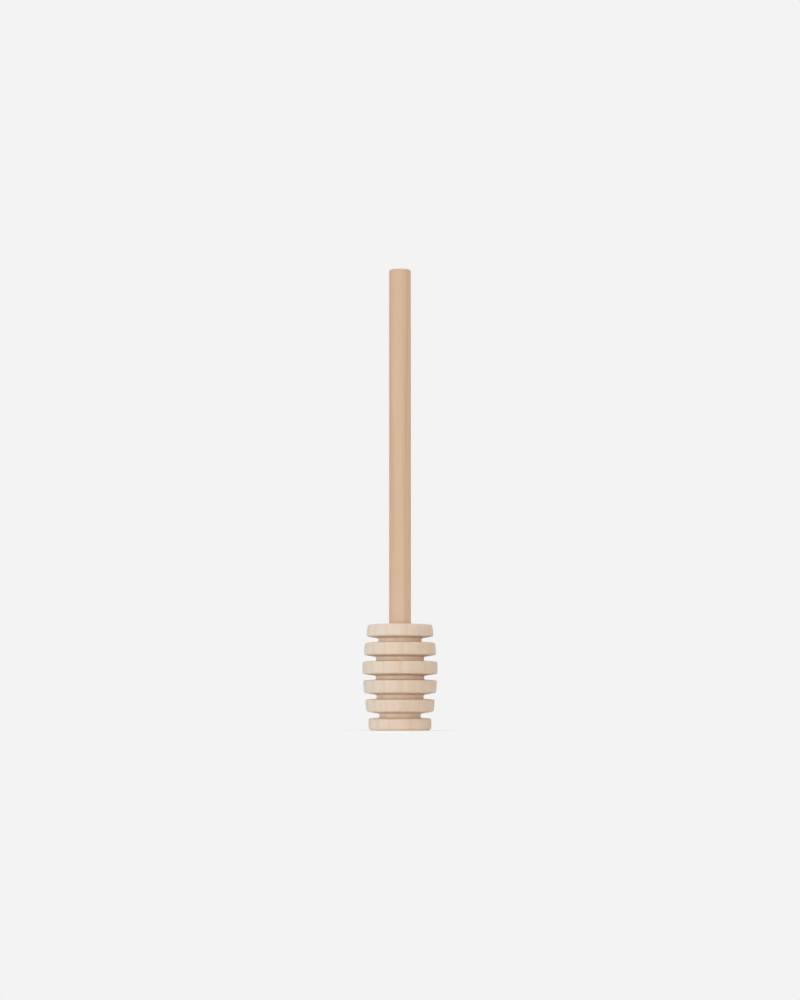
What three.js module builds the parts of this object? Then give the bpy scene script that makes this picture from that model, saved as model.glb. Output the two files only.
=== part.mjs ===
// A wooden honey dipper: a plain round handle glued into a turned, ribbed head.
// Millimetres, +Z up. The origin is the centre of the foot, the flat end that the dipper stands on.
import * as THREE from "three";

// Handle
const overallLength = 160; // from the foot to the tip of the handle
const handleDiameter = 7.6;
const tipRounding = 0.5; // at the handle's free end
const tenonChamfer = 0.6; // at the handle's end inside the head

// Head
const ribDiameters = [21.7, 23.65, 25.3, 26, 24.7, 22.85]; // at mid rim, from the foot up
const ribThicknesses = [4.1, 4.15, 4.3, 4.2, 4.2, 4.1]; // at the rim, from the foot up
const ribRounding = 0.75;
const footRounding = 1.4; // at the lower edge of the foot rib
const topRounding = 1.05; // at the upper edge of the top rib
const rimFollow = 0.75; // share of the barrel's slope that each rim takes
const grooveMouths = [2.35, 2.3, 2.25, 2.3, 2.2]; // between two rims, from the foot up
const grooveDepths = [4.2, 4.1, 4.45, 4.4, 4.4]; // below the mean of the rims beside it, from the foot up
const undersideDrop = 0.7; // fall of a rib's underside from rim to core
const topRise = 0.28; // rise of a rib's top from rim to core

// Glued joint
const socketDepth = 18;
const glueThickness = 0.15; // between the handle and the socket's wall
const glueFloor = 0.4; // between the handle's end and the socket's floor
const glueSetback = 0.5; // from the socket's mouth down to the glue

// Facets
const sides = 48; // of every turned piece
const roundingSteps = 3; // of a rounded corner

// Sizes that follow from those above
const ribCount = ribDiameters.length;
const headHeight = ribTop(ribCount - 1);
const handleRadius = handleDiameter / 2;
const socketRadius = handleRadius + glueThickness;
const socketFloor = headHeight - socketDepth;
const tenonEnd = socketFloor + glueFloor;
const handleLength = overallLength - tenonEnd;

// One corner of a turned piece's half section.
function corner(radius, height, rounding = 0) {
  return { at: new THREE.Vector2(radius, height), rounding };
}

// The point that lies a given length from one point towards another.
function towards(from, to, length) {
  return to.clone().sub(from).setLength(length).add(from);
}

// The half section through the corners as points, with a curve at each rounded corner.
function outline(corners) {
  const path = new THREE.Path();
  path.moveTo(corners[0].at.x, corners[0].at.y);
  corners.slice(1).forEach(({ at, rounding }, index) => {
    if (rounding === 0) {
      path.lineTo(at.x, at.y);
      return;
    }
    const start = towards(at, corners[index].at, rounding);
    const end = towards(at, corners[index + 2].at, rounding);
    path.lineTo(start.x, start.y);
    path.quadraticCurveTo(at.x, at.y, end.x, end.y);
  });
  return path.getPoints(roundingSteps);
}

// A piece turned about the Z axis. Its half section runs from axis to axis, outside first.
function turned(name, corners, material) {
  const geometry = new THREE.LatheGeometry(outline(corners), sides);
  geometry.rotateX(Math.PI / 2);
  const mesh = new THREE.Mesh(geometry, material);
  mesh.name = name;
  return mesh;
}

// Radius at the middle of a rib's rim, counted from the foot.
function rimRadius(rib) {
  return ribDiameters[rib] / 2;
}

// Height of a rib's lower face, and of its upper face.
function ribBottom(rib) {
  const below = [...ribThicknesses.slice(0, rib), ...grooveMouths.slice(0, rib)];
  return below.reduce((height, size) => height + size, 0);
}

function ribTop(rib) {
  return ribBottom(rib) + ribThicknesses[rib];
}

// Change of radius over a rim's thickness, so that the rims follow the barrel that they were cut from.
// The foot rib stands straight.
function rimLean(rib) {
  if (rib === 0) {
    return 0;
  }
  const above = Math.min(rib + 1, ribCount - 1);
  const slope = (rimRadius(above) - rimRadius(rib - 1)) / (ribBottom(above) - ribBottom(rib - 1));
  return slope * ribThicknesses[rib] * rimFollow;
}

// Radius of the core in the groove above a rib.
function coreRadius(rib) {
  return (rimRadius(rib) + rimRadius(rib + 1)) / 2 - grooveDepths[rib];
}

// The outer corners of a rib, with the core's corners in the groove above it.
function ribCorners(rib) {
  const lean = rimLean(rib) / 2;
  const isFoot = rib === 0;
  const isTop = rib === ribCount - 1;
  const corners = [
    corner(rimRadius(rib) - lean, ribBottom(rib), isFoot ? footRounding : ribRounding),
    corner(rimRadius(rib) + lean, ribTop(rib), isTop ? topRounding : ribRounding),
  ];
  if (!isTop) {
    corners.push(corner(coreRadius(rib), ribTop(rib) + topRise));
    corners.push(corner(coreRadius(rib), ribBottom(rib + 1) - undersideDrop));
  }
  return corners;
}

function makeHead() {
  const paleBeech = new THREE.MeshStandardMaterial({ color: 0xdfc7ae, roughness: 0.65, metalness: 0 });
  const ribs = ribDiameters.flatMap((diameter, rib) => ribCorners(rib));
  return turned("head", [
    corner(0, 0),
    ...ribs,
    corner(socketRadius, headHeight),
    corner(socketRadius, socketFloor),
    corner(0, socketFloor),
  ], paleBeech);
}

function makeHandle() {
  const tanBeech = new THREE.MeshStandardMaterial({ color: 0xd5b599, roughness: 0.6, metalness: 0 });
  const handle = turned("handle", [
    corner(0, 0),
    corner(handleRadius - tenonChamfer, 0),
    corner(handleRadius, tenonChamfer),
    corner(handleRadius, handleLength, tipRounding),
    corner(0, handleLength),
  ], tanBeech);
  handle.position.z = tenonEnd;
  return handle;
}

// The cured glue: a thin cup that fills the socket round the end of the handle.
function makeGlueFilm() {
  const curedGlue = new THREE.MeshStandardMaterial({ color: 0xe6d8b8, roughness: 0.35, metalness: 0 });
  const rim = socketDepth - glueSetback;
  const glueFilm = turned("glue_film", [
    corner(0, 0),
    corner(socketRadius, 0),
    corner(socketRadius, rim),
    corner(handleRadius, rim),
    corner(handleRadius, glueFloor + tenonChamfer),
    corner(handleRadius - tenonChamfer, glueFloor),
    corner(0, glueFloor),
  ], curedGlue);
  glueFilm.position.z = socketFloor;
  return glueFilm;
}

const honeyDipper = new THREE.Group();
honeyDipper.name = "honey_dipper";
honeyDipper.add(makeHead(), makeGlueFilm(), makeHandle());

export default honeyDipper;
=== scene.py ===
import math

import bpy
import numpy as np
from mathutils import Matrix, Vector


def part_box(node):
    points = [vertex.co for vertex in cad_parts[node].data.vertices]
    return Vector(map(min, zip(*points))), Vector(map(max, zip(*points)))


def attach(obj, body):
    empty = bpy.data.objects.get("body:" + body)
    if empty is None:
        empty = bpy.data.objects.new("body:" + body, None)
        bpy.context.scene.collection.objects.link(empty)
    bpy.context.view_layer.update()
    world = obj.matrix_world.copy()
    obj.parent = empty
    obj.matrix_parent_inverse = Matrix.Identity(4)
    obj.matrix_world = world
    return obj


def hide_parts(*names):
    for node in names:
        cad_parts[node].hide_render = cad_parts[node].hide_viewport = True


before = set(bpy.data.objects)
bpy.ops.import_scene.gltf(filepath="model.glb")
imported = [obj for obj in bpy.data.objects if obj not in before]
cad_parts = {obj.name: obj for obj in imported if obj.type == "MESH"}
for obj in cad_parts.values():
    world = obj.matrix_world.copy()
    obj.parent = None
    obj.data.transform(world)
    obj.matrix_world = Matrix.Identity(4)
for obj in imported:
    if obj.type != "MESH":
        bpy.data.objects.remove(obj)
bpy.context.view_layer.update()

mm = 0.001  # sizes below are millimetres, the scene is in metres
print("frame loaded:", ", ".join(sorted(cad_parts)))


# camera: stands near the foot's level, straight in front, pitched up to the middle of the dipper
cameraSetup = {
    "lens": 93.84,
    "sensorWidth": 36.0,
    "distance": 900.0,
    "height": 5.0,
    "pitchDegrees": 4.734,
}


# camera at (0, -distance, height): it looks along +Y, turned up by its pitch
def placeCamera(setup):
    lensData = bpy.data.cameras.new("photoCamera")
    lensData.lens = setup["lens"]
    lensData.sensor_width = setup["sensorWidth"]
    camera = bpy.data.objects.new("photoCamera", lensData)
    camera.location = (0, -setup["distance"] * mm, setup["height"] * mm)
    camera.rotation_euler = (math.radians(90 + setup["pitchDegrees"]), 0, 0)
    bpy.context.scene.collection.objects.link(camera)
    bpy.context.scene.camera = camera


placeCamera(cameraSetup)
print("camera placed")


# colour as it is seen on a screen, 0 to 255, turned by the sRGB curve into a shader's linear colour
def seenColour(red, green, blue):
    seen = np.array([red, green, blue]) / 255
    linear = np.where(seen <= 0.04045, seen / 12.92, ((seen + 0.055) / 1.055) ** 2.4)
    return (*linear.tolist(), 1.0)


# a new node, with its settings made and its inputs set or linked
def addNode(tree, kind, inputs=None, **settings):
    node = tree.nodes.new(kind)
    for key, value in settings.items():
        setattr(node, key, value)
    for socket, value in (inputs or {}).items():
        if isinstance(value, bpy.types.NodeSocket):
            tree.links.new(value, node.inputs[socket])
        else:
            node.inputs[socket].default_value = value
    return node


# result of one Math node, from numbers or sockets
def calc(tree, operation, *values):
    node = addNode(tree, "ShaderNodeMath", dict(enumerate(values)), operation=operation)
    return node.outputs[0]


# result of one Vector Math node, part by part, from vectors or sockets
def vectorCalc(tree, operation, *values):
    node = addNode(tree, "ShaderNodeVectorMath", dict(enumerate(values)), operation=operation)
    return node.outputs[0]


# length of a vector
def lengthOf(tree, vector):
    node = addNode(tree, "ShaderNodeVectorMath", {0: vector}, operation="LENGTH")
    return node.outputs["Value"]


# smooth step from 0 at low to 1 at high
def easeBetween(tree, value, low, high):
    inputs = {"Value": value, "From Min": low, "From Max": high}
    node = addNode(tree, "ShaderNodeMapRange", inputs, interpolation_type="SMOOTHSTEP")
    return node.outputs["Result"]


# number that goes from the first to the second as share goes from 0 to 1; 2 and 3 are the node's numbers
def mixValue(tree, share, first, second):
    return addNode(tree, "ShaderNodeMix", {0: share, 2: first, 3: second}).outputs[0]


# colour that goes from the first to the first blended with the second; 6 and 7 are the node's colours
def mixColour(tree, share, first, second, blend="MIX"):
    inputs = {0: share, 6: first, 7: second}
    node = addNode(tree, "ShaderNodeMix", inputs, data_type="RGBA", blend_type=blend)
    return node.outputs[2]


# shader that goes from the first to the second as share goes from 0 to 1
def mixShader(tree, share, first, second):
    inputs = {0: share, 1: first.outputs[0], 2: second.outputs[0]}
    return addNode(tree, "ShaderNodeMixShader", inputs).outputs[0]


# studio: a pale floor that fades into an even backdrop, soft lamps at the dipper's own level
studio = {
    "backdrop": (243, 243, 243),
    "ambient": 0.42,
    "floorRadius": 3000.0,
    "floorRings": (0.02, 0.1, 0.3, 1.0),  # shares of the radius
    "floorSides": 96,
    "floorFadeStart": 12.0,
    "floorFadeEnd": 40.0,
    "floorAlbedo": 0.88,
    "floorGlow": 0.09,  # what the lit floor lacks to reach the backdrop, only where it is looked at
    "tableLight": 0.18,  # light from the table itself, close round the foot
    "tableLightStart": 11.0,
    "tableLightEnd": 22.0,
    "aimHeight": 60.0,
}
# azimuth is counted from the camera's side, to the right
# level is the share of its own colour that a surface facing the lamp shows
lamps = [
    {
        "name": "frontLow", "azimuth": 0, "elevation": 2.5, "distance": 2500, "size": 200,
        "level": 0.185, "tint": (1.01, 1.03, 0.88),
    },
    {
        "name": "leftLow", "azimuth": -50, "elevation": 2.5, "distance": 2500, "size": 200,
        "level": 0.145, "tint": (0.99, 0.96, 1.17),
    },
    {
        "name": "upperLeft", "azimuth": -60, "elevation": 30, "distance": 1000, "size": 500,
        "level": 0.06, "tint": (0.80, 1.05, 1.05),
    },
    {
        "name": "upperRight", "azimuth": 60, "elevation": 30, "distance": 1000, "size": 500,
        "level": 0.045, "tint": (1.30, 0.90, 0.80),
    },
    {
        "name": "topSoft", "azimuth": 0, "elevation": 90, "distance": 1000, "size": 700,
        "level": 0.45, "tint": (1.0, 1.0, 1.0),
    },
    {
        "name": "backFill", "azimuth": 180, "elevation": 12, "distance": 2000, "size": 500,
        "level": 0.25, "tint": (1.0, 1.0, 1.0),
    },
]


# lamp at its distance from the aim point, turned to it; its power is level x (pi distance)^2, because a
# facing matt surface shows power / (pi distance)^2 of its own colour
def placeLamp(lamp):
    turn = math.radians(lamp["azimuth"])
    rise = math.radians(lamp["elevation"])
    reach = lamp["distance"] * mm
    data = bpy.data.lights.new(lamp["name"], "AREA")
    data.size = lamp["size"] * mm
    data.energy = lamp["level"] * (math.pi * reach) ** 2
    data.color = lamp["tint"]
    item = bpy.data.objects.new(lamp["name"], data)
    item.location = (
        reach * math.cos(rise) * math.sin(turn),
        -reach * math.cos(rise) * math.cos(turn),
        reach * math.sin(rise) + studio["aimHeight"] * mm,
    )
    item.rotation_euler = (math.pi / 2 - rise, 0, turn)
    bpy.context.scene.collection.objects.link(item)


# light path mask: 1 on rays that should see the plain backdrop
def seenDirectly(tree):
    path = addNode(tree, "ShaderNodeLightPath")
    direct = calc(tree, "MAXIMUM", path.outputs["Is Camera Ray"], path.outputs["Is Glossy Ray"])
    return calc(tree, "MAXIMUM", direct, path.outputs["Is Transmission Ray"])


# world: even white light from all round, and the plain backdrop where it is seen directly
def makeWorld():
    world = bpy.data.worlds.new("studioWorld")
    bpy.context.scene.world = world
    world.use_nodes = True
    tree = world.node_tree
    tree.nodes.clear()
    soft = addNode(tree, "ShaderNodeBackground", {"Color": (1, 1, 1, 1), "Strength": studio["ambient"]})
    plain = addNode(tree, "ShaderNodeBackground", {"Color": seenColour(*studio["backdrop"])})
    mixed = mixShader(tree, seenDirectly(tree), soft, plain)
    output = addNode(tree, "ShaderNodeOutputWorld")
    tree.links.new(mixed, output.inputs["Surface"])


# floor: a flat disc, point (r cos a, r sin a, 0) on rings r and angles a, closed at its middle
def makeFloor():
    angles = np.linspace(0, 2 * np.pi, studio["floorSides"], endpoint=False)
    radii = np.array(studio["floorRings"]) * studio["floorRadius"] * mm
    ring = np.stack([np.cos(angles), np.sin(angles), np.zeros_like(angles)], axis=1)
    points = np.concatenate([[[0, 0, 0]], (radii[:, None, None] * ring).reshape(-1, 3)])
    here = np.arange(len(angles))
    after = np.roll(here, -1)
    middle = np.stack([np.zeros_like(here), here + 1, after + 1], axis=1)
    starts = (np.arange(len(radii) - 1) * len(angles) + 1)[:, None]
    outer = starts + len(angles)
    bands = np.stack([starts + here, outer + here, outer + after, starts + after], axis=2)
    mesh = bpy.data.meshes.new("floor")
    mesh.from_pydata(points.tolist(), [], middle.tolist() + bands.reshape(-1, 4).tolist())
    floor = bpy.data.objects.new("floor", mesh)
    bpy.context.scene.collection.objects.link(floor)
    mesh.materials.append(makeFloorMaterial())


# floor finish: matt, with a glow where it is looked at that fades to the plain backdrop with distance, and
# for all other rays a light of its own that fades out close round the foot
def makeFloorMaterial():
    material = bpy.data.materials.new("paleFloor")
    material.use_nodes = True
    tree = material.node_tree
    tree.nodes.clear()
    reach = lengthOf(tree, addNode(tree, "ShaderNodeTexCoord").outputs["Object"])
    fade = easeBetween(tree, reach, studio["floorFadeStart"] * mm, studio["floorFadeEnd"] * mm)
    close = easeBetween(tree, reach, studio["tableLightEnd"] * mm, studio["tableLightStart"] * mm)
    direct = seenDirectly(tree)
    lit = calc(tree, "MULTIPLY", close, studio["tableLight"])
    level = mixValue(tree, direct, lit, studio["floorGlow"])
    matt = addNode(tree, "ShaderNodeBsdfDiffuse", {"Color": (*[studio["floorAlbedo"]] * 3, 1)})
    glow = addNode(tree, "ShaderNodeEmission", {"Strength": level})
    near = addNode(tree, "ShaderNodeAddShader", {0: matt.outputs[0], 1: glow.outputs[0]})
    plain = addNode(tree, "ShaderNodeEmission", {"Color": seenColour(*studio["backdrop"])})
    mixed = mixShader(tree, calc(tree, "MULTIPLY", fade, direct), near, plain)
    output = addNode(tree, "ShaderNodeOutputMaterial")
    tree.links.new(mixed, output.inputs["Surface"])
    return material


bpy.context.scene.view_settings.view_transform = "Standard"
makeWorld()
makeFloor()
for lamp in lamps:
    placeLamp(lamp)
print("studio lit by", len(lamps), "lamps")


curveSteps = 6  # points on a rounded corner
shortestStep = 0.0001  # points closer than this are one point


# half section from corners (radius, height, rounding): each corner is cut back by its rounding along both
# edges and bridged by a quadratic curve, then stretches are split until no step is longer than stepLength
def halfSection(corners, stepLength):
    corners = np.asarray(corners, float)
    spots = corners[:, :2]
    bends = spots[1:-1]
    roundings = corners[1:-1, 2, None]
    before = spots[:-2] - bends
    after = spots[2:] - bends
    starts = bends + roundings * before / np.linalg.norm(before, axis=1, keepdims=True)
    ends = bends + roundings * after / np.linalg.norm(after, axis=1, keepdims=True)
    t = np.linspace(0, 1, curveSteps)[None, :, None]
    curves = (1 - t) ** 2 * starts[:, None] + 2 * t * (1 - t) * bends[:, None] + t ** 2 * ends[:, None]
    line = np.concatenate([spots[:1], curves.reshape(-1, 2), spots[-1:]])
    keep = np.append(np.linalg.norm(np.diff(line, axis=0), axis=1) > shortestStep, True)
    line = line[keep]
    lengths = np.linalg.norm(np.diff(line, axis=0), axis=1)
    pieces = np.maximum(np.ceil(lengths / stepLength).astype(int), 1)
    owner = np.repeat(np.arange(len(pieces)), pieces)
    order = np.arange(len(owner)) - np.repeat(np.cumsum(pieces) - pieces, pieces)
    share = (order / pieces[owner])[:, None]
    fine = line[owner] + share * (line[owner + 1] - line[owner])
    return np.concatenate([fine, line[-1:]])


# turned surface: a half section swung round Z, point (r cos a, r sin a, z), moved along the section's own
# outward normal by relief(length along the section, a, z, normal), which fades out within 1 mm of the axis;
# both ends lie on the axis and close in a point
def turnedPiece(name, section, sides, relief):
    angles = np.linspace(0, 2 * np.pi, sides, endpoint=False)[None, :]
    tangent = np.gradient(section, axis=0)
    tangent /= np.linalg.norm(tangent, axis=1, keepdims=True)
    normal = np.stack([tangent[:, 1], -tangent[:, 0]], axis=1)
    along = np.append(0, np.cumsum(np.linalg.norm(np.diff(section, axis=0), axis=1)))
    height = section[:, 1, None]
    moved = relief(along[:, None], angles, height, normal) * np.minimum(section[:, 0, None], 1)
    radius = section[:, 0, None] + moved * normal[:, 0, None]
    rise = height + moved * normal[:, 1, None]
    rings = np.stack([radius * np.cos(angles), radius * np.sin(angles), rise + 0 * angles], axis=2)
    rings = rings[1:-1]
    bottom = [[0, 0, section[0, 1]]]
    top = [[0, 0, section[-1, 1]]]
    points = np.concatenate([bottom, rings.reshape(-1, 3), top]) * mm
    here = np.arange(sides)
    after = np.roll(here, -1)
    starts = (np.arange(len(rings) - 1) * sides + 1)[:, None]
    ends = starts + sides
    bands = np.stack([starts + here, starts + after, ends + after, ends + here], axis=2)
    lastRing = 1 + (len(rings) - 1) * sides
    firstFan = np.stack([0 * here, after + 1, here + 1], axis=1)
    lastFan = np.stack([0 * here + len(points) - 1, lastRing + here, lastRing + after], axis=1)
    faces = bands.reshape(-1, 4).tolist() + firstFan.tolist() + lastFan.tolist()
    mesh = bpy.data.meshes.new(name)
    mesh.from_pydata(points.tolist(), [], faces)
    mesh.shade_smooth()
    piece = bpy.data.objects.new(name, mesh)
    bpy.context.scene.collection.objects.link(piece)
    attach(piece, "root")
    print(name, "made:", len(points), "points,", len(faces), "faces")
    return piece


waveCount = 9


# random hollows: depth x (w - 1), where w is a sum of cosines of whole turns round the axis that drift with
# height, brought to about -1 to 1
def randomHollows(angles, height, hollows):
    fewest, most = hollows["turns"]
    rng = np.random.default_rng(hollows["seed"])
    turns = rng.integers(fewest, most + 1, waveCount)
    phases = rng.uniform(0, 2 * np.pi, waveCount)
    drifts = rng.normal(0, hollows["drift"], waveCount)
    total = sum(np.cos(n * angles + k * height + p) for n, k, p in zip(turns, drifts, phases))
    return hollows["depth"] * (total / math.sqrt(waveCount) - 1)


# head: rims that follow a barrel, undercut grooves, a flat foot and a blind socket
headShape = {
    "ribDiameters": (21.7, 23.65, 25.3, 26.0, 24.7, 22.85),  # at mid rim, from the foot up
    "ribThicknesses": (4.1, 4.15, 4.3, 4.2, 4.2, 4.1),
    "grooveMouths": (2.35, 2.3, 2.25, 2.3, 2.2),
    "grooveDepths": (4.2, 4.1, 4.45, 4.4, 4.4),  # below the mean of the rims beside it
    "undersideDrop": 0.7,
    "topRise": 0.28,
    "rimFollow": 0.75,  # share of the barrel's slope that each rim takes
    "ribRounding": 0.75,
    "footRounding": 1.4,  # at the lower edge of the foot rib
    "topRounding": 1.05,  # at the upper edge of the top rib
    "coreFillet": 0.3,
    "mouthRounding": 0.12,
    "stepLength": 0.3,
    "sides": 220,
    "ovalness": 0.03,
    "ovalTurn": 0.7,  # radians
    "sanding": {"depth": 0.025, "turns": (3, 14), "drift": 0.25, "seed": 11},
    "toolRing": 0.012,
    "toolPitch": 0.55,
}


# half section of the head: for each rib its lower and upper rim edge, then the core's lower and upper
# end in the groove above it, and last the socket; a rim leans by a share of the barrel's slope there
def headSection(shape):
    rims = np.array(shape["ribDiameters"]) / 2
    thicknesses = np.array(shape["ribThicknesses"])
    bottoms = np.append(0, np.cumsum(thicknesses[:-1] + shape["grooveMouths"]))
    tops = bottoms + thicknesses
    leans = np.gradient(rims) / np.gradient(bottoms) * thicknesses * shape["rimFollow"] / 2
    leans[0] = 0  # the foot rib stands straight
    cores = np.append((rims[:-1] + rims[1:]) / 2 - shape["grooveDepths"], 0)
    undersides = np.append(bottoms[1:], 0) - shape["undersideDrop"]
    lowerEdge = np.full(len(rims), shape["ribRounding"])
    upperEdge = lowerEdge.copy()
    lowerEdge[0] = shape["footRounding"]
    upperEdge[-1] = shape["topRounding"]
    fillet = np.full(len(rims), shape["coreFillet"])
    ribs = np.stack([
        np.stack([rims - leans, bottoms, lowerEdge], axis=1),
        np.stack([rims + leans, tops, upperEdge], axis=1),
        np.stack([cores, tops + shape["topRise"], fillet], axis=1),
        np.stack([cores, undersides, fillet], axis=1),
    ], axis=1).reshape(-1, 3)[:-2]  # no groove above the top rib
    socketLow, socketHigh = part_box("glue_film")
    socketRadius = socketHigh.x / mm
    socketFloor = socketLow.z / mm
    socket = [
        [socketRadius, tops[-1], shape["mouthRounding"]],
        [socketRadius, socketFloor, 0],
        [0, socketFloor, 0],
    ]
    return halfSection([[0, 0, 0], *ribs, *socket], shape["stepLength"])


# relief of the head: oval from drying, faint sanding hollows on the rims, fine tool rings on the faces that
# were cut across the grain
def headRelief(along, angles, height, normal):
    shape = headShape
    acrossGrain = np.abs(normal[:, 1, None])
    oval = -shape["ovalness"] * (1 - np.cos(2 * angles + shape["ovalTurn"])) * (1 - acrossGrain)
    sandingAndPaintedBand = randomHollows(angles, height, shape["sanding"]) * (1 - acrossGrain)
    rings = shape["toolRing"] * (np.sin(2 * np.pi * along / shape["toolPitch"]) - 1) * acrossGrain
    return oval + sandingAndPaintedBand + rings


# handle: a long dowel with a rounded tip and a chamfered hidden end
handleShape = {
    "tipRounding": 0.55,
    "tenonChamfer": 0.6,
    "stepLength": 0.8,
    "sides": 160,
    "fibres": {"depth": 0.012, "turns": (9, 38), "drift": 0.02, "seed": 5},
}


# half section of the handle, from its hidden end up to its tip
def handleSection(shape):
    low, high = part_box("handle")
    radius = high.x / mm
    bottom, top = low.z / mm, high.z / mm
    return halfSection([
        [0, bottom, 0],
        [radius - shape["tenonChamfer"], bottom, 0],
        [radius, bottom + shape["tenonChamfer"], 0],
        [radius, top, shape["tipRounding"]],
        [0, top, 0],
    ], shape["stepLength"])


# relief of the handle: raised fibres that run along it and wander slowly
def handleRelief(along, angles, height, normal):
    sideGrain = 1 - np.abs(normal[:, 1, None])
    return randomHollows(angles, height, handleShape["fibres"]) * sideGrain


# glue film: the cup of cured glue round the handle's end, with a wavy lip just inside the socket's mouth
glueShape = {
    "stepLength": 1.0,
    "sides": 120,
    "lip": {"depth": 0.05, "turns": (2, 9), "drift": 0.0, "seed": 3},
    "lipReach": 0.01,  # how far below its top a point still counts as the lip
}


# half section of the glue: the cup's outside up to its lip, then its inside down along the handle's end
def glueSection(shape):
    low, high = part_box("glue_film")
    handleLow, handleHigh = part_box("handle")
    outer, inner = high.x / mm, handleHigh.x / mm
    bottom, top = low.z / mm, high.z / mm
    end = handleLow.z / mm
    chamfer = handleShape["tenonChamfer"]
    return halfSection([
        [0, bottom, 0],
        [outer, bottom, 0],
        [outer, top, 0],
        [inner, top, 0],
        [inner, end + chamfer, 0],
        [inner - chamfer, end, 0],
        [0, end, 0],
    ], shape["stepLength"])


# relief of the glue: hollows in the lip, where the surface looks up at its top
def glueRelief(along, angles, height, normal):
    atLip = np.maximum(normal[:, 1, None], 0) * (height > height.max() - glueShape["lipReach"])
    return randomHollows(angles, height, glueShape["lip"]) * atLip


head = turnedPiece("turned_head", headSection(headShape), headShape["sides"], headRelief)
handle = turnedPiece("dowel_handle", handleSection(handleShape), handleShape["sides"], handleRelief)
glue = turnedPiece("glue_cup", glueSection(glueShape), glueShape["sides"], glueRelief)
for piece, node, slotName in (
    (head, "head", "head_wood"),
    (handle, "handle", "handle_wood"),
    (glue, "glue_film", "glue"),
):
    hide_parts(node)


# beech, shared by both pieces; stretch is a noise's swings per millimetre across and, last, along the grain
beech = {
    "wander": {"stretch": (0.07, 0.07, 0.02), "detail": 2.0},
    "wanderSize": (1.6, 1.6, 0.0),
    "streak": {"stretch": (0.75, 0.75, 0.012), "detail": 2.0},
    "fibre": {"stretch": (5.5, 5.5, 0.14), "detail": 3.0},
    "noiseMean": 0.5,
    "baseTone": 0.3,  # between early wood, 0, and late wood, 1
    "lateFrom": 0.55,  # shares of a year's ring: late wood begins, is deepest, starts to break off, ends
    "lateFull": 0.93,
    "breakFrom": 0.94,
    "breakTo": 1.0,
    "palestYear": 0.55,  # depth of late wood in the palest year
    "yearSpread": 0.45,
    "rayReach": 0.25,  # rays per millimetre towards the tree's middle
    "rayBearing": 200.0,  # rays per radian round it
    "rayHeight": 0.45,  # rays per millimetre along the grain
    "raySpread": 0.9,  # a ray's size is raySpread x chance + rayLeast, and below 0 there is none
    "rayLeast": -0.48,
    "rayNone": 0.001,
    "rayEdge": 0.7,  # share of the way to its middle over which a ray fades in
    "roughness": 0.5,
    "endRoughness": 0.18,
    "rayRoughness": -0.2,
    "raySink": -0.5,
    # painted light: lightens the wood in the grooves, where shade falls
    "grooveLiftTint": (1.06, 1.07, 1.09),
    # glue stain and painted shade where the handle meets the head
    "stainAndShadeTint": (0.84, 0.88, 0.93, 1.0),
    "endGrainFrom": 0.2,  # how far a face looks up or down, where end grain begins and where it is full
    "endGrainFull": 0.75,
    "turning": {"stretch": (6 / mm, 6 / mm, 0), "detail": 2.0},  # per metre of radius and of height
    "bumpDistance": 0.1,
}


# noise of a place that is stretched per axis
def stretchedNoise(tree, place, noise):
    vector = vectorCalc(tree, "MULTIPLY", place, noise["stretch"])
    inputs = {"Vector": vector, "Scale": 1.0, "Detail": noise["detail"]}
    return addNode(tree, "ShaderNodeTexNoise", inputs).outputs


# distance of a place from the Z axis
def axisDistance(tree, place):
    spot = addNode(tree, "ShaderNodeSeparateXYZ", {0: place}).outputs
    flat = addNode(tree, "ShaderNodeCombineXYZ", {"X": spot["X"], "Y": spot["Y"]}).outputs[0]
    return lengthOf(tree, flat)


# growth rings: the colour deepens towards a year's end and breaks off there, and each year has its depth
def ringTone(tree, reach, width):
    years = calc(tree, "DIVIDE", reach, width)
    share = calc(tree, "FRACT", years)
    deepens = easeBetween(tree, share, beech["lateFrom"], beech["lateFull"])
    breaks = easeBetween(tree, share, beech["breakTo"], beech["breakFrom"])
    number = calc(tree, "FLOOR", years)
    chance = addNode(tree, "ShaderNodeTexWhiteNoise", {"W": number}, noise_dimensions="1D").outputs["Value"]
    depth = calc(tree, "MULTIPLY_ADD", chance, beech["yearSpread"], beech["palestYear"])
    return calc(tree, "MULTIPLY", calc(tree, "MULTIPLY", deepens, breaks), depth)


# rays: lens shapes at random points, long towards the tree's middle, thin across the grain, short along it;
# 1 at a ray's middle and 0 from its edge on
def rayMask(tree, reach, bearing, height):
    place = addNode(tree, "ShaderNodeCombineXYZ", {
        "X": calc(tree, "MULTIPLY", reach, beech["rayReach"]),
        "Y": calc(tree, "MULTIPLY", bearing, beech["rayBearing"]),
        "Z": calc(tree, "MULTIPLY", height, beech["rayHeight"]),
    }).outputs[0]
    cells = addNode(tree, "ShaderNodeTexVoronoi", {"Vector": place, "Scale": 1.0}).outputs
    chance = addNode(tree, "ShaderNodeSeparateColor", {0: cells["Color"]}).outputs["Red"]
    size = calc(tree, "MULTIPLY_ADD", chance, beech["raySpread"], beech["rayLeast"])
    size = calc(tree, "MAXIMUM", size, beech["rayNone"])
    depth = calc(tree, "SUBTRACT", 1.0, calc(tree, "DIVIDE", cells["Distance"], size))
    return easeBetween(tree, depth, 0.0, beech["rayEdge"])


# sockets of the grain group, with the key of a finish that fills each
grainColours = {"Early Wood": "early", "Late Wood": "late", "Ray Wood": "ray"}
grainValues = {
    "Ring Width": "ringWidth",
    "Ring Strength": "ringStrength",
    "Streak Strength": "streakStrength",
    "Fibre Strength": "fibreStrength",
    "Ray Strength": "rayStrength",
    "End Darkening": "endDarkening",
}
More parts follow.
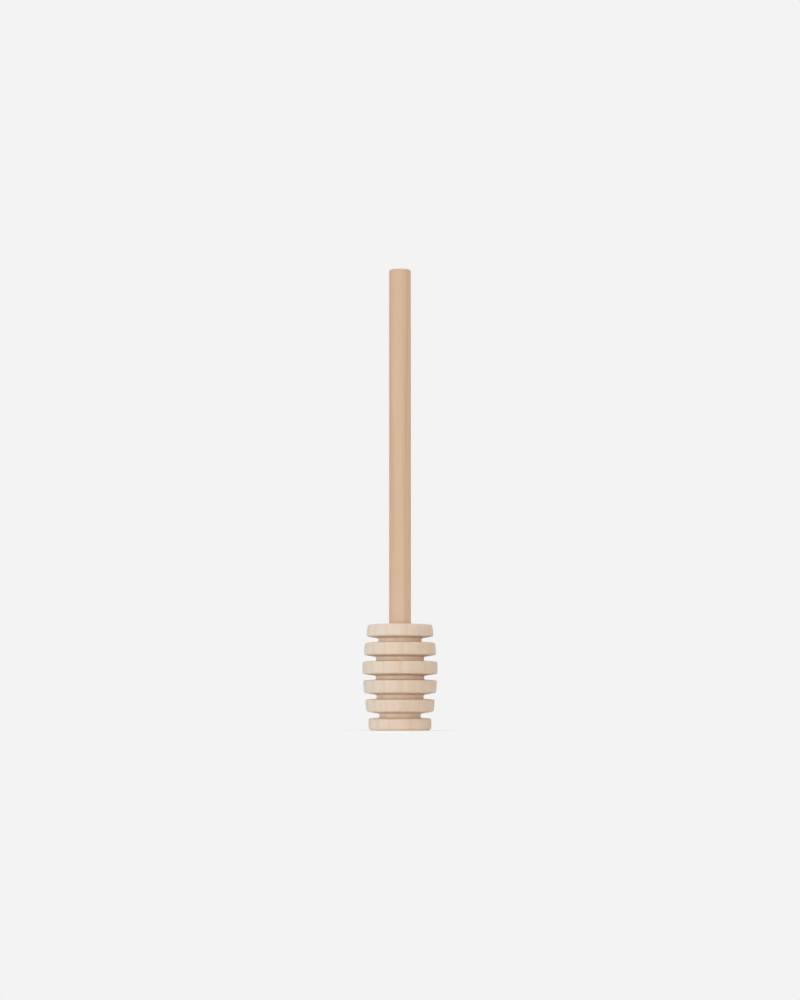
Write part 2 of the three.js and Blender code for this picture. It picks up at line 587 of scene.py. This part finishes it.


# beech grain group: its place is in millimetres with the tree's middle on the Z axis, so that distance
# from Z counts the growth rings, the bearing round Z places the rays, and the fibres run along Z. The
# colour goes from early to late wood by a sum of ring, streak and fibre tones, takes the rays and the
# painted light tint, deepens on end grain, is lightened by painted light in the grooves and darkens at
# the joint by a glue stain and painted shade
def makeBeechGrain():
    group = bpy.data.node_groups.new("beechGrain", "ShaderNodeTree")
    sockets = group.interface
    sockets.new_socket("Place", in_out="INPUT", socket_type="NodeSocketVector")
    sockets.new_socket("End Grain", in_out="INPUT", socket_type="NodeSocketFloat")
    sockets.new_socket("Painted Groove Light", in_out="INPUT", socket_type="NodeSocketFloat")
    sockets.new_socket("Stain And Shade", in_out="INPUT", socket_type="NodeSocketFloat")
    sockets.new_socket("Painted Light", in_out="INPUT", socket_type="NodeSocketVector")
    for name in grainColours:
        sockets.new_socket(name, in_out="INPUT", socket_type="NodeSocketColor")
    for name in grainValues:
        sockets.new_socket(name, in_out="INPUT", socket_type="NodeSocketFloat")
    sockets.new_socket("Colour", in_out="OUTPUT", socket_type="NodeSocketColor")
    sockets.new_socket("Roughness", in_out="OUTPUT", socket_type="NodeSocketFloat")
    sockets.new_socket("Height", in_out="OUTPUT", socket_type="NodeSocketFloat")
    given = addNode(group, "NodeGroupInput").outputs
    place = given["Place"]

    # the grain wanders a few tenths of a millimetre over centimetres
    wander = stretchedNoise(group, place, beech["wander"])["Color"]
    wander = vectorCalc(group, "SUBTRACT", wander, (beech["noiseMean"],) * 3)
    shift = vectorCalc(group, "MULTIPLY", wander, beech["wanderSize"])
    shifted = vectorCalc(group, "ADD", place, shift)
    spot = addNode(group, "ShaderNodeSeparateXYZ", {0: shifted}).outputs
    reach = axisDistance(group, shifted)
    bearing = calc(group, "ARCTAN2", spot["Y"], spot["X"])

    streak = stretchedNoise(group, place, beech["streak"])["Fac"]
    fibre = stretchedNoise(group, place, beech["fibre"])["Fac"]
    ray = calc(group, "MULTIPLY", rayMask(group, reach, bearing, spot["Z"]), given["Ray Strength"])
    ring = ringTone(group, reach, given["Ring Width"])
    tone = calc(group, "MULTIPLY_ADD", ring, given["Ring Strength"], beech["baseTone"])
    for noise, strength in ((streak, "Streak Strength"), (fibre, "Fibre Strength")):
        swing = calc(group, "SUBTRACT", noise, beech["noiseMean"])
        tone = calc(group, "MULTIPLY_ADD", swing, given[strength], tone)
    tone = addNode(group, "ShaderNodeClamp", {"Value": tone}).outputs[0]

    wood = mixColour(group, tone, given["Early Wood"], given["Late Wood"])
    wood = mixColour(group, ray, wood, given["Ray Wood"])
    # painted light: the colour is tinted across the piece and by height, as light falls there
    wood = vectorCalc(group, "MULTIPLY", wood, given["Painted Light"])
    deep = calc(group, "MULTIPLY", given["End Grain"], given["End Darkening"])
    wood = mixColour(group, deep, wood, given["Ray Wood"], "MULTIPLY")
    # painted light: the grooves are made lighter, where shade falls
    paintedLift = vectorCalc(group, "MULTIPLY", wood, beech["grooveLiftTint"])
    wood = mixColour(group, given["Painted Groove Light"], wood, paintedLift)
    # glue stain and painted shade at the joint
    wood = mixColour(group, given["Stain And Shade"], wood, beech["stainAndShadeTint"], "MULTIPLY")
    rough = calc(group, "MULTIPLY_ADD", given["End Grain"], beech["endRoughness"], beech["roughness"])
    rough = calc(group, "MULTIPLY_ADD", ray, beech["rayRoughness"], rough)
    rise = calc(group, "MULTIPLY_ADD", ray, beech["raySink"], fibre)
    output = addNode(group, "NodeGroupOutput")
    group.links.new(wood, output.inputs["Colour"])
    group.links.new(rough, output.inputs["Roughness"])
    group.links.new(rise, output.inputs["Height"])
    return group


beechGrain = makeBeechGrain()

# wood finishes. Pith is where the tree's middle lay, in millimetres from the dipper's axis, and lean turns
# the fibres off that axis. The colour carries painted light: one tint on the left and another on the right
# across the piece, and a paler tint over a band of height, on the head's top rib and on the handle just
# above the head, as light falls there
headFinish = {
    "name": "paleTurnedBeech",
    "early": (235, 215, 193),
    "late": (213, 185, 158),
    "ray": (196, 162, 130),
    "pith": (-50.65, 51.76, 0.0),
    "leanDegrees": (0.5, -0.3, 0.0),
    "ringWidth": 4.6,
    "ringStrength": 0.26,
    "streakStrength": 0.45,
    "fibreStrength": 0.3,
    "rayStrength": 0.3,
    "endDarkening": 0.04,
    "grooveLiftRadii": (9.2, 10.4),  # painted groove light in full inside the first, none outside the second
    # painted light across the head: lighter and cooler on its left side, a touch darker to the right
    "paintedLightFrom": -12.0,
    "paintedLightTo": -0.5,
    "leftPaintedLight": (0.99, 1.052, 1.11),
    "rightPaintedLight": (0.99, 0.974, 0.98),
    # painted light by height: paler and cooler over the top rib
    "paintedBandFrom": 30.2,
    "paintedBandTo": 31.6,
    "paintedBandTint": (1.025, 1.04, 1.085),
    "bump": 0.15,
    "turning": 0.5,
}
handleFinish = {
    "name": "tanDowelBeech",
    "early": (227, 193, 162),
    "late": (196, 155, 121),
    "ray": (180, 140, 106),
    "pith": (-8.9, -56.2, 0.0),
    "leanDegrees": (0.45, -0.07, 0.0),
    "ringWidth": 3.6,
    "ringStrength": 0.24,
    "streakStrength": 0.45,
    "fibreStrength": 0.3,
    "rayStrength": 0.26,
    "endDarkening": 0.25,
    "stainAndShadeHeight": 1.6,  # how far up the handle the joint's glue stain and painted shade fade out
    # painted light across the handle: darker on its left side, lighter and cooler on its right
    "paintedLightFrom": -3.4,
    "paintedLightTo": 3.4,
    "leftPaintedLight": (0.965, 0.972, 0.955),
    "rightPaintedLight": (1.05, 1.075, 1.1),
    # painted light by height: paler towards the head, where its top face throws light up
    "paintedBandFrom": 55.0,
    "paintedBandTo": 38.0,
    "paintedBandTint": (1.03, 1.06, 1.115),
    "bump": 0.12,
    "turning": 0.2,
}


# turning marks: noise of radius and height alone, so that it runs round the axis in fine rings
def turningMarks(tree, place, height):
    inputs = {"X": axisDistance(tree, place), "Y": height}
    profile = addNode(tree, "ShaderNodeCombineXYZ", inputs).outputs[0]
    return stretchedNoise(tree, profile, beech["turning"])["Fac"]


# painted light in the wood's colour: left tint to right tint across the piece, times a paler band tint by
# height
def paintedWoodLight(tree, spot, finish):
    across = easeBetween(tree, spot["X"], finish["paintedLightFrom"] * mm, finish["paintedLightTo"] * mm)
    drift = mixColour(tree, across, (*finish["leftPaintedLight"], 1.0), (*finish["rightPaintedLight"], 1.0))
    # painted light band by height
    sandingAndPaintedBand = easeBetween(tree, spot["Z"], finish["paintedBandFrom"] * mm, finish["paintedBandTo"] * mm)
    paler = vectorCalc(tree, "MULTIPLY", drift, finish["paintedBandTint"])
    return mixColour(tree, sandingAndPaintedBand, drift, paler)


# wood: object coordinates in millimetres, leaned and moved to the tree's middle, go through the grain
# group; end grain comes from how far a face looks up or down, the painted light in the grooves from the
# radius, the glue stain with painted shade from the height, and the painted light tint from the place
def makeWood(finish):
    material = bpy.data.materials.new(finish["name"])
    material.use_nodes = True
    tree = material.node_tree
    shader = tree.nodes["Principled BSDF"]
    coords = addNode(tree, "ShaderNodeTexCoord").outputs
    spot = addNode(tree, "ShaderNodeSeparateXYZ", {0: coords["Object"]}).outputs
    place = addNode(tree, "ShaderNodeMapping", {
        "Vector": coords["Object"],
        "Location": tuple(-value for value in finish["pith"]),
        "Rotation": tuple(math.radians(value) for value in finish["leanDegrees"]),
        "Scale": (1 / mm,) * 3,
    }).outputs[0]
    facing = addNode(tree, "ShaderNodeSeparateXYZ", {0: coords["Normal"]}).outputs["Z"]
    tilt = calc(tree, "ABSOLUTE", facing)
    endGrain = easeBetween(tree, tilt, beech["endGrainFrom"], beech["endGrainFull"])
    grain = addNode(tree, "ShaderNodeGroup", node_tree=beechGrain)
    for socket, key in grainColours.items():
        grain.inputs[socket].default_value = seenColour(*finish[key])
    for socket, key in grainValues.items():
        grain.inputs[socket].default_value = finish[key]
    tree.links.new(place, grain.inputs["Place"])
    tree.links.new(endGrain, grain.inputs["End Grain"])
    # painted light tint across the piece and by height
    tree.links.new(paintedWoodLight(tree, spot, finish), grain.inputs["Painted Light"])
    # painted light in the grooves, full inside the first radius and none outside the second
    if "grooveLiftRadii" in finish:
        paintedLift, liftEdge = (value * mm for value in finish["grooveLiftRadii"])
        grooveLightShare = easeBetween(tree, axisDistance(tree, coords["Object"]), liftEdge, paintedLift)
        tree.links.new(grooveLightShare, grain.inputs["Painted Groove Light"])
    # glue stain and painted shade just above the head
    if "stainAndShadeHeight" in finish:
        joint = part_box("head")[1].z
        stainAndShade = easeBetween(tree, spot["Z"], joint + finish["stainAndShadeHeight"] * mm, joint)
        tree.links.new(stainAndShade, grain.inputs["Stain And Shade"])
    marks = turningMarks(tree, coords["Object"], spot["Z"])
    height = calc(tree, "MULTIPLY_ADD", marks, finish["turning"], grain.outputs["Height"])
    bump = addNode(tree, "ShaderNodeBump", {
        "Strength": finish["bump"],
        "Distance": beech["bumpDistance"] * mm,
        "Height": height,
    })
    tree.links.new(grain.outputs["Colour"], shader.inputs["Base Color"])
    tree.links.new(grain.outputs["Roughness"], shader.inputs["Roughness"])
    tree.links.new(bump.outputs[0], shader.inputs["Normal"])
    return material


# cured glue: amber, glossy, with faint cloudy patches
glueFinish = {
    "clear": (232, 214, 176),
    "cloudy": (214, 186, 140),
    "patchScale": 700.0,
    "patchDetail": 2.0,
    "roughness": 0.3,
}


# glue: the clear colour mixed with the cloudy one by a noise of the place
def makeGlueMaterial(finish):
    material = bpy.data.materials.new("curedGlue")
    material.use_nodes = True
    tree = material.node_tree
    shader = tree.nodes["Principled BSDF"]
    patches = addNode(tree, "ShaderNodeTexNoise", {
        "Vector": addNode(tree, "ShaderNodeTexCoord").outputs["Object"],
        "Scale": finish["patchScale"],
        "Detail": finish["patchDetail"],
    }).outputs["Fac"]
    colour = mixColour(tree, patches, seenColour(*finish["clear"]), seenColour(*finish["cloudy"]))
    tree.links.new(colour, shader.inputs["Base Color"])
    shader.inputs["Roughness"].default_value = finish["roughness"]
    return material


head.data.materials.append(makeWood(headFinish))
handle.data.materials.append(makeWood(handleFinish))
glue.data.materials.append(makeGlueMaterial(glueFinish))
print("materials made")
